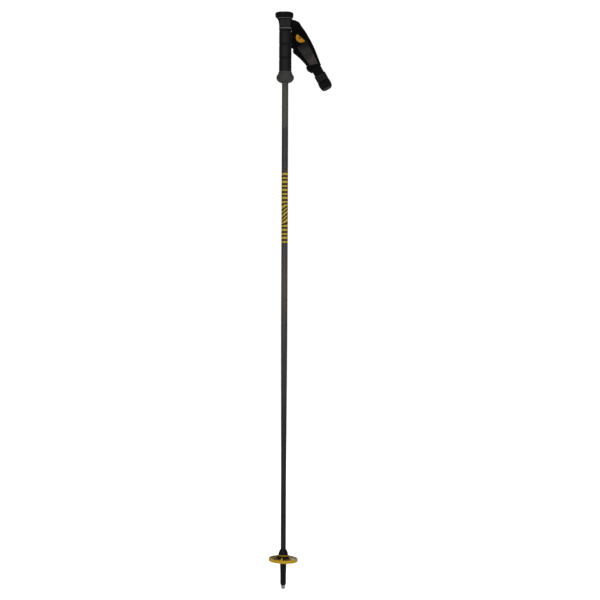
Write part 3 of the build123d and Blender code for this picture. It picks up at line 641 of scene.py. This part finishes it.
def patch_on_band(name, corners, lift, thick, material, body_slot, node):
    """Cloth sewn on the band, from its outline in s and t, with turned-in edges."""
    (s_top_in, t_top_in), (s_top_out, t_top_out), (s_low_out, t_low_out), (s_low_in, t_low_in) = corners
    loops = []
    down_count, across_count = 46, 30
    for i in range(down_count):
        v = i / (down_count - 1)
        a = Vector((s_top_in, t_top_in)).lerp(Vector((s_low_in, t_low_in)), v)
        b = Vector((s_top_out, t_top_out)).lerp(Vector((s_low_out, t_low_out)), v)
        upper, lower = [], []
        for j in range(across_count):
            u = j / (across_count - 1)
            p = a.lerp(b, u)
            rim = min(u, 1 - u) * (b - a).length
            rim = min(rim, min(v, 1 - v) * abs(s_low_in - s_top_in))
            edge = smooth_step(0, 1.2, rim)
            stitch_dip = 0.22 * math.exp(-((rim - 2.0) / 0.5) ** 2)
            n = band_surface(p.x, p.y)
            upper.append(at(p.x, p.y, n + lift + thick * (0.35 + 0.65 * edge) - stitch_dip
                            + pucker(p.x * 1.5, p.y * 1.5, 0.12) * edge))
            lower.append(at(p.x, p.y, n + lift - 0.1))
        loops.append(upper + lower[::-1])
    obj = skin(name, loops, material)
    finish_piece(obj, "strap", body_slot, node)
    return obj


# corners in s and t: top inner, top outer, low outer, low inner
PANEL = ((46.0, -22.0), (43.0, 3.6), (98.0, 2.0), (93.0, -16.6))
PATCH = ((81.3, -15.4), (74.4, 2.6), (97.2, 1.2), (92.8, -15.6))
patch_on_band("strap_face_panel", PANEL, 0.05, 0.75, "grey", "grey_fabric", "strap_panel")
patch_on_band("strap_face_patch", PATCH, 0.70, 0.5, "patch", "patch_fabric", "strap_patch")

# badge: moulded half disc with two plain rings
MEDAL_R = 11.4
MEDAL_AT = (31.2, -3.7)
MEDAL_TURN = math.radians(20)


def medal_point(r, angle, lift):
    x, y = r * math.cos(angle), r * math.sin(angle)
    s = MEDAL_AT[0] + x * math.cos(MEDAL_TURN) - y * math.sin(MEDAL_TURN)
    t = MEDAL_AT[1] + x * math.sin(MEDAL_TURN) + y * math.cos(MEDAL_TURN)
    return at(s, t, band_surface(s, t) + lift)


def medal_height(r):
    """Domed badge with two shallow rings in it."""
    rings = sum(0.16 * math.exp(-((r - ring_r) / 0.35) ** 2) for ring_r in (8.4, 6.6))
    return 1.05 - 0.35 * (r / MEDAL_R) ** 2 - rings - 0.5 * smooth_step(MEDAL_R - 0.9, MEDAL_R, r)


medal_loops = []
for k in range(41):
    angle = -math.pi + math.pi * k / 40
    side_drop = 0.5 * (1 - smooth_step(0, 1, min(k, 40 - k) / 2))
    radii = steps(0.05, MEDAL_R, 34)
    upper = [medal_point(r, angle, max(medal_height(r) - side_drop, 0.15)) for r in radii]
    lower = [medal_point(r, angle, -0.15) for r in reversed(radii)]
    medal_loops.append(upper + lower)
badge = skin("strap_half_disc", medal_loops, "badge")
finish_piece(badge, "strap", "yellow_badge", "strap_badge")

# a small plain stud in the badge's middle
STUD_AT = (MEDAL_AT[0], MEDAL_AT[1] - 3.4)
stud_loops = []
for r, lift in ((0.02, 1.35), (1.2, 1.32), (1.9, 1.2), (2.1, 0.9), (2.1, 0.4)):
    stud_loops.append([
        at(STUD_AT[0] + r * math.cos(a), STUD_AT[1] + r * math.sin(a), band_surface(*STUD_AT) + lift)
        for a in steps(0, 2 * math.pi * 23 / 24, 24)
    ])
stud = skin("strap_badge_stud", stud_loops, "badge_mark")
finish_piece(stud, "strap", "yellow_badge")

# ---- webbing -------------------------------------------------------------------


def ribbon(name, path, edge_low, edge_high, thick, material):
    """Webbing along a path of (s, n), between two edge curves in t, with round selvedges."""
    loops = []
    for index, (s, n) in enumerate(path):
        before, after = path[max(index - 1, 0)], path[min(index + 1, len(path) - 1)]
        run = Vector((after[0] - before[0], after[1] - before[1])).normalized()
        low, high = through(edge_low, s), through(edge_high, s)
        loop = []
        profile = []
        for t in steps(low + thick * 0.5, high - thick * 0.5, 22):
            profile.append((t, thick / 2 * (1 + 0.05 * math.cos(t * 2 * math.pi / 2.2))))
        inset, rise = thick * 0.15, thick * 0.35
        high_edge = [(high - inset, rise), (high, 0.0), (high - inset, -rise)]
        low_edge = [(low + inset, -rise), (low, 0.0), (low + inset, rise)]
        profile = profile + high_edge + [(t, -h) for t, h in reversed(profile)] + low_edge
        for t, h in profile:
            loop.append(at(s - run.y * h, t, n + run.x * h))
        loops.append(loop)
    return skin(name, loops, material)


WEB_LOW = [(-6, -6.0), (0.5, -6.4), (20, -10.8), (60, -15.5), (86, -17.0), (143, -17.0)]
WEB_HIGH = [(-6, 8.6), (0.5, 8.7), (20, 9.2), (60, 6.4), (86, 5.0), (143, 5.0)]

front_path = [(s, -0.70 + 0.10 * math.sin(s * 0.13)) for s in steps(84, 138, 90)]
front = ribbon("strap_front_webbing", front_path, WEB_LOW, WEB_HIGH, 1.5, "webbing")
finish_piece(front, "strap", "webbing", "strap_webbing")

REAR_STATIONS = [(0.5, -1.0), (12, -1.0), (20, -1.4), (27, -4.6), (34, -9.2), (42, -13.0), (51, -15.1),
                 (60, -14.4), (69, -11.5), (78, -7.4), (86, -4.8), (92, -4.3), (110, -4.3), (138, -4.3)]
rear_path = [(s, through(REAR_STATIONS, s)) for s in steps(0.5, 138, 200)]
rear = ribbon("strap_rear_webbing", rear_path, WEB_LOW, WEB_HIGH, 1.5, "webbing")
finish_piece(rear, "strap", "webbing", "strap_return")

# neck: doubled webbing from the cross pin, out through the slot, fanning into the band
NECK_PATH = [
    # centre x, centre z, half height of the webbing, half thickness
    (4.6, 1225.9, 8.1, 1.3), (8.0, 1225.9, 8.2, 2.2), (11.5, 1225.9, 8.2, 1.9), (14.5, 1226.2, 7.9, 1.7),
    (17.0, 1226.2, 7.5, 1.75), (20.0, 1225.6, 7.2, 2.0), (23.5, 1224.6, 6.6, 2.5), (27.5, 1223.0, 6.0, 3.0),
]
NECK_SAMPLES = 44
NECK_TURN = math.radians(24)
neck_loops = []
for i in range(NECK_SAMPLES):
    place = (len(NECK_PATH) - 1) * i / (NECK_SAMPLES - 1)
    x, z, half, thick = (
        through([(k, row[column]) for k, row in enumerate(NECK_PATH)], place) for column in range(4)
    )
    tilt = smooth_step(12, 27, x) * NECK_TURN
    loop = []
    for k in range(40):
        a = 2 * math.pi * k / 40
        along_width = half * max(min(1.12 * math.cos(a), 1), -1)
        channels = 1 - 0.10 * math.cos(6 * math.pi * along_width / half / 2) ** 2
        out = thick * max(min(1.5 * math.sin(a), 1), -1) * channels
        point_x = (x + along_width * math.sin(tilt)) * MM
        loop.append(Vector((point_x, -out * MM, (z + along_width * math.cos(tilt)) * MM)))
    neck_loops.append(loop)
neck = skin("strap_neck_webbing", neck_loops, "webbing")
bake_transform(neck)
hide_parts("strap_root", "strap_neck")

# ---- end tab, keeper and slide ---------------------------------------------------

TAB_HIGH = [(135.4, 6.9), (143.5, 7.5), (150.3, 6.6), (154.3, 4.4), (156.3, 1.6), (157.0, -2.0)]
TAB_LOW = [(135.4, -19.0), (141.0, -19.8), (148.5, -19.1), (153.0, -17.7), (155.8, -14.8), (157.0, -10.5)]
TAB_MID_N = -2.5
LIP_START = 150.4
TAB_HALF = 3.15
TAB_ROUND = 148.0


def tab_section(s):
    """Cross section of the folded and sewn end, with a groove at each end of its ribs."""
    low, high = through(TAB_LOW, s), through(TAB_HIGH, s)
    half = TAB_HALF
    if s > TAB_ROUND:
        half = TAB_HALF * math.sqrt(max(1 - ((s - TAB_ROUND) / 9.1) ** 2, 0.02))
    half *= 0.78 + 0.22 * smooth_step(135.4, 137.4, s)
    lip_groove = 0.75 * math.exp(-((s - LIP_START) / 0.55) ** 2)
    half -= lip_groove + 0.35 * math.exp(-((s - 137.6) / 0.4) ** 2)
    loop = []
    for k in range(72):
        a = 2 * math.pi * k / 72
        across = math.copysign(abs(math.cos(a)) ** 0.35, math.cos(a))
        rise = math.copysign(abs(math.sin(a)) ** 0.45, math.sin(a))
        t = (low + high) / 2 + across * (high - low) / 2
        rib = 0.07 * math.sin(t * 2 * math.pi / 1.5) if s < LIP_START else 0.0
        loop.append(at(s, t, TAB_MID_N + rise * (half + rib)))
    return loop


tab = skin("strap_sewn_end", [tab_section(s) for s in steps(135.4, 157.0, 90)], "tab")
tab.data.materials.append(MAT["lip"])
tab.data.materials.append(MAT["binding"])
# painted shade: the tab's top end in the gap under the keeper, and the groove where the lip starts, take the
# near-black binding cloth
for polygon in tab.data.polygons:
    place = (polygon.center - STRAP_ORIGIN).dot(DOWN) / MM
    if abs(place - LIP_START) < 1.1 or place < 137.2:
        polygon.material_index = 2
    elif place > LIP_START:
        polygon.material_index = 1
finish_piece(tab, "strap", "tab_fabric", "strap_end_tab")


def wound_loop(name, span, t_range, n_range, thick, material, wave=0.0, skirt=0.0):
    """Band wound round the webbing: its width runs along s, its path round t and n.

    A skirt lengthens it down its inner side, and draws in towards the webbing there.
    """
    (t_low, t_high), (n_low, n_high) = t_range, n_range
    corner = min((n_high - n_low) / 2, 2.4)
    path = []
    for centre_t, centre_n, start in (
        (t_high - corner, n_high - corner, 0), (t_low + corner, n_high - corner, 90),
        (t_low + corner, n_low + corner, 180), (t_high - corner, n_low + corner, 270),
    ):
        for k in range(9):
            path.append((centre_t, centre_n, math.radians(start + 90 * k / 8)))
        if start in (0, 180):
            sign = -1 if start == 0 else 1
            for k in range(1, 20):
                t = centre_t + sign * (t_high - t_low - 2 * corner) * k / 20
                path.append((t, centre_n, math.radians(start + 90)))
    loops = []
    for t, n, a in path:
        skirt_from = t_low + 0.45 * (t_high - t_low)
        inner_side = smooth_step(skirt_from, t_low + 3, t + corner * math.cos(a)) if skirt else 0
        low_s = span[1] + skirt * inner_side
        outline = [(s, 0.0) for s in steps(span[0] + 0.5, low_s - 0.5, 20)] + [(low_s, -thick * 0.5)]
        outline += [(s, -thick) for s in steps(low_s - 0.5, span[0] + 0.5, 20)] + [(span[0], -thick * 0.5)]
        loop = []
        for s, depth in outline:
            ripple = wave * math.sin(s * 2 * math.pi / 1.5) if depth == 0 else 0
            radius = corner + depth + ripple
            drawn_in = skirt and 0.62 * inner_side * (
                max(s - span[1] + 2.5, 0) + 0.6 * max(span[0] + 4.5 - s, 0))
            loop.append(at(s, t + drawn_in + radius * math.cos(a), n + radius * math.sin(a)))
        loops.append(loop)
    return skin(name, loops, material, ring=True)


keeper = wound_loop("strap_keeper_band", (119.0, 134.6), (-18.8, 6.8), (-6.7, 1.7), 1.1,
                    "keeper", wave=0.06)
finish_piece(keeper, "keeper", "keeper_fabric", "strap_keeper")

slide = wound_loop("strap_slide", (90.0, 102.5), (-25.4, 7.0), (-6.9, -1.8), 1.25, "slide", skirt=6.0)
finish_piece(slide, "slider", "black_plastic", "strap_slider")

for number, rib_s in enumerate((93.6, 96.8, 100.0), 1):
    loops = []
    for t in steps(-24.2, 5.8, 20):
        taper = math.sqrt(max(1 - ((t + 9.2) / 15.05) ** 6, 0.05))
        loops.append([
            at(rib_s + 0.75 * taper * math.cos(a), t, -6.75 - 0.55 * taper * math.sin(a))
            for a in steps(0, 2 * math.pi * 11 / 12, 12)
        ])
    rib = skin(f"strap_slide_rib_{number}", loops, "slide")
    finish_piece(rib, "slider", "black_plastic")

# ---- stitching -------------------------------------------------------------------


THREAD_RADIUS = 0.26
STITCH_LENGTH = 1.9


def stitches(name, runs):
    """Short raised threads along runs of surface points."""
    points, faces, uvs = [], [], []
    for line, gap in runs:
        total = 0.0
        for index in range(len(line) - 1):
            total += (line[index + 1][0] - line[index][0]).length / MM
        count = max(int(total / gap), 1)
        for k in range(count):
            start = (k + 0.18) * total / count
            ends = [walk(line, start), walk(line, start + min(STITCH_LENGTH, total / count * 0.7))]
            (a, up), (b, _) = ends
            along = (b - a).normalized()
            side = along.cross(up).normalized()
            base = len(points)
            for place, girth in ((0.0, 0.35), (0.15, 0.9), (0.5, 1.1), (0.85, 0.9), (1.0, 0.35)):
                centre = a.lerp(b, place) + up * (0.12 * math.sin(math.pi * place) - 0.05) * MM
                for q in range(6):
                    turn = 2 * math.pi * q / 6
                    offset = side * math.cos(turn) + up * math.sin(turn)
                    points.append(centre + offset * THREAD_RADIUS * girth * MM)
            for ring_index in range(4):
                for q in range(6):
                    p0 = base + ring_index * 6 + q
                    p1 = base + ring_index * 6 + (q + 1) % 6
                    faces.append((p0, p1, p1 + 6, p0 + 6))
            faces.append(tuple(base + q for q in range(6))[::-1])
            faces.append(tuple(base + 24 + q for q in range(6)))
    corner_count = sum(len(f) for f in faces)
    obj = make_piece(name, points, faces, [(0, 0)] * corner_count, "thread")
    face_out(obj)
    return obj


def walk(line, distance):
    """Point and outward direction at a distance in mm along a line of such pairs."""
    for (a, up_a), (b, up_b) in zip(line, line[1:]):
        step = (b - a).length / MM
        if distance <= step:
            u = distance / step
            return a.lerp(b, u), up_a.lerp(up_b, u).normalized()
        distance -= step
    return line[-1]


OUT = Vector((0, -1, 0))


def edge_run(edge, side, reach, span, lift):
    line = []
    for s in steps(*span, 60):
        t = through(edge, s) - side * reach
        line.append((at(s, t, band_surface(s, t) + lift), OUT))
    return line


def corner_run(corners, inset, lift):
    """Closed line set in from an outline on the band's face."""
    centre = Vector([sum(c[axis] for c in corners) / len(corners) for axis in (0, 1)])
    inner = []
    for c in corners:
        away = Vector(c) - centre
        inner.append(centre + away * (1 - inset / away.length))
    line = []
    for a, b in zip(inner, inner[1:] + inner[:1]):
        for k in range(16):
            p = a.lerp(b, k / 15)
            line.append((at(p.x, p.y, band_surface(p.x, p.y) + lift), OUT))
    return line


sewing = stitches("strap_stitching", [
    (edge_run(OUTER_EDGE, 1, 3.7, (2, 98), 0.36), 3.0),
    (edge_run(INNER_EDGE, -1, 3.7, (6, 97), 0.36), 3.0),
    (corner_run(PANEL, 3.0, 0.72), 2.8),
    (corner_run(PATCH, 2.2, 1.12), 2.4),
])
finish_piece(sewing, "strap", "binding_tape")

# ---- grip sleeve -------------------------------------------------------------------

SLEEVE_LOW, SLEEVE_HIGH = (corner.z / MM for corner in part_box("grip_sleeve"))
SLEEVE_HALF = (13.45, 13.0)
SLEEVE_CORNER = 10.5
PADS = (1194.0, 1164.2, 1134.6)
PAD_HALF = (7.0, 12.0)
DIMPLE_ROW = 2.4
DIMPLE_STEP = 2.6


def sleeve_outline():
    """Points and outward directions round the grip's rounded square, from +X."""
    half_x, half_y = SLEEVE_HALF
    r = SLEEVE_CORNER
    runs = []
    # each corner, then the flat side after it: its outward direction and the way along it
    for quadrant, (corner_at, outward, onward) in enumerate((
        ((1, 1), (0, 1), (-1, 0)), ((-1, 1), (-1, 0), (0, -1)),
        ((-1, -1), (0, -1), (1, 0)), ((1, -1), (1, 0), (0, 1)),
    )):
        centre = (corner_at[0] * (half_x - r), corner_at[1] * (half_y - r))
        for k in range(15):
            a = math.radians(90 * quadrant + 90 * k / 14)
            runs.append((centre[0] + r * math.cos(a), centre[1] + r * math.sin(a), math.cos(a), math.sin(a)))
        gap = 2 * (half_x - r) if quadrant in (0, 2) else 2 * (half_y - r)
        last = runs[-1]
        for k in range(1, 8):
            shift = gap * k / 8
            runs.append((last[0] + onward[0] * shift, last[1] + onward[1] * shift, *outward))
    return runs


def sleeve_relief(x, nx, ny, z):
    """Raised pads with small dimples on two sides, ribs on the others, grooves between."""
    relief = 0.0
    for groove in GROOVES:
        relief -= 0.85 * math.exp(-((z - groove) / 0.95) ** 2)
    relief -= 0.7 * (1 - smooth_step(0, 1.0, z - SLEEVE_LOW))
    relief -= 0.7 * (1 - smooth_step(0, 1.0, SLEEVE_HIGH - z))
    if abs(ny) > 0.5:
        for pad in PADS:
            inside = min(PAD_HALF[0] - abs(x - PAD_X), PAD_HALF[1] - abs(z - pad))
            rise = smooth_step(-0.5, 0.8, inside)
            relief += 0.42 * rise
            if inside > 0.8:
                row = round((z - pad) / DIMPLE_ROW)
                centre_z = pad + row * DIMPLE_ROW
                offset = DIMPLE_STEP / 2 if row % 2 else 0.0
                centre_x = round((x - PAD_X - offset) / DIMPLE_STEP) * DIMPLE_STEP + offset + PAD_X
                gap = math.hypot(x - centre_x, z - centre_z)
                relief -= 0.38 * math.exp(-(gap / 0.62) ** 2)
    side = smooth_step(0.55, 0.8, abs(nx))
    relief += 0.14 * side * math.sin(z * 2 * math.pi / 3.3)
    return relief


sleeve_runs = sleeve_outline()
dense_runs = []
for first, second in zip(sleeve_runs, sleeve_runs[1:] + sleeve_runs[:1]):
    for k in range(2):
        dense_runs.append(tuple(a + (b - a) * k / 2 for a, b in zip(first, second)))
sleeve_loops = []
for z in steps(SLEEVE_LOW + 0.05, SLEEVE_HIGH - 0.05, 210):
    loop = []
    for x, y, nx, ny in dense_runs:
        relief = sleeve_relief(x, nx, ny, z)
        loop.append(Vector(((x + nx * relief) * MM, (y + ny * relief) * MM, z * MM)))
    sleeve_loops.append(loop)
sleeve = skin("grip_rubber_sleeve", sleeve_loops, "rubber")
finish_piece(sleeve, "pole", "grip_rubber", "grip_sleeve")

# ---- floor -------------------------------------------------------------------------

FLOOR_HALF = 6.0
FLOOR_GAP = 0.0006
GLOW_ROOM, GLOW_CAMERA = 0.25, 0.88  # the floor's glow on the pole, and as the camera sees it
floor_mesh = bpy.data.meshes.new("floor")
floor_corners = [(x * FLOOR_HALF, y * FLOOR_HALF, 0) for x, y in ((-1, -1), (1, -1), (1, 1), (-1, 1))]
floor_mesh.from_pydata(floor_corners, [], [(0, 1, 2, 3)])
floor = bpy.data.objects.new("floor", floor_mesh)
floor.location.z = pole_low.z - FLOOR_GAP
scene.collection.objects.link(floor)
pale = Shade("floor_mat", 0.9, specular=0.1)
pale.set("Base Color", (0.7, 0.7, 0.7, 1))
pale.set("Emission Color", (1, 1, 1, 1))
pale.add("LightPath")
seen = pale.nodes[-1].outputs["Is Camera Ray"]
pale.set("Emission Strength", pale.fit(seen, 0, 1, GLOW_ROOM, GLOW_CAMERA))
floor_mesh.materials.append(pale.material)
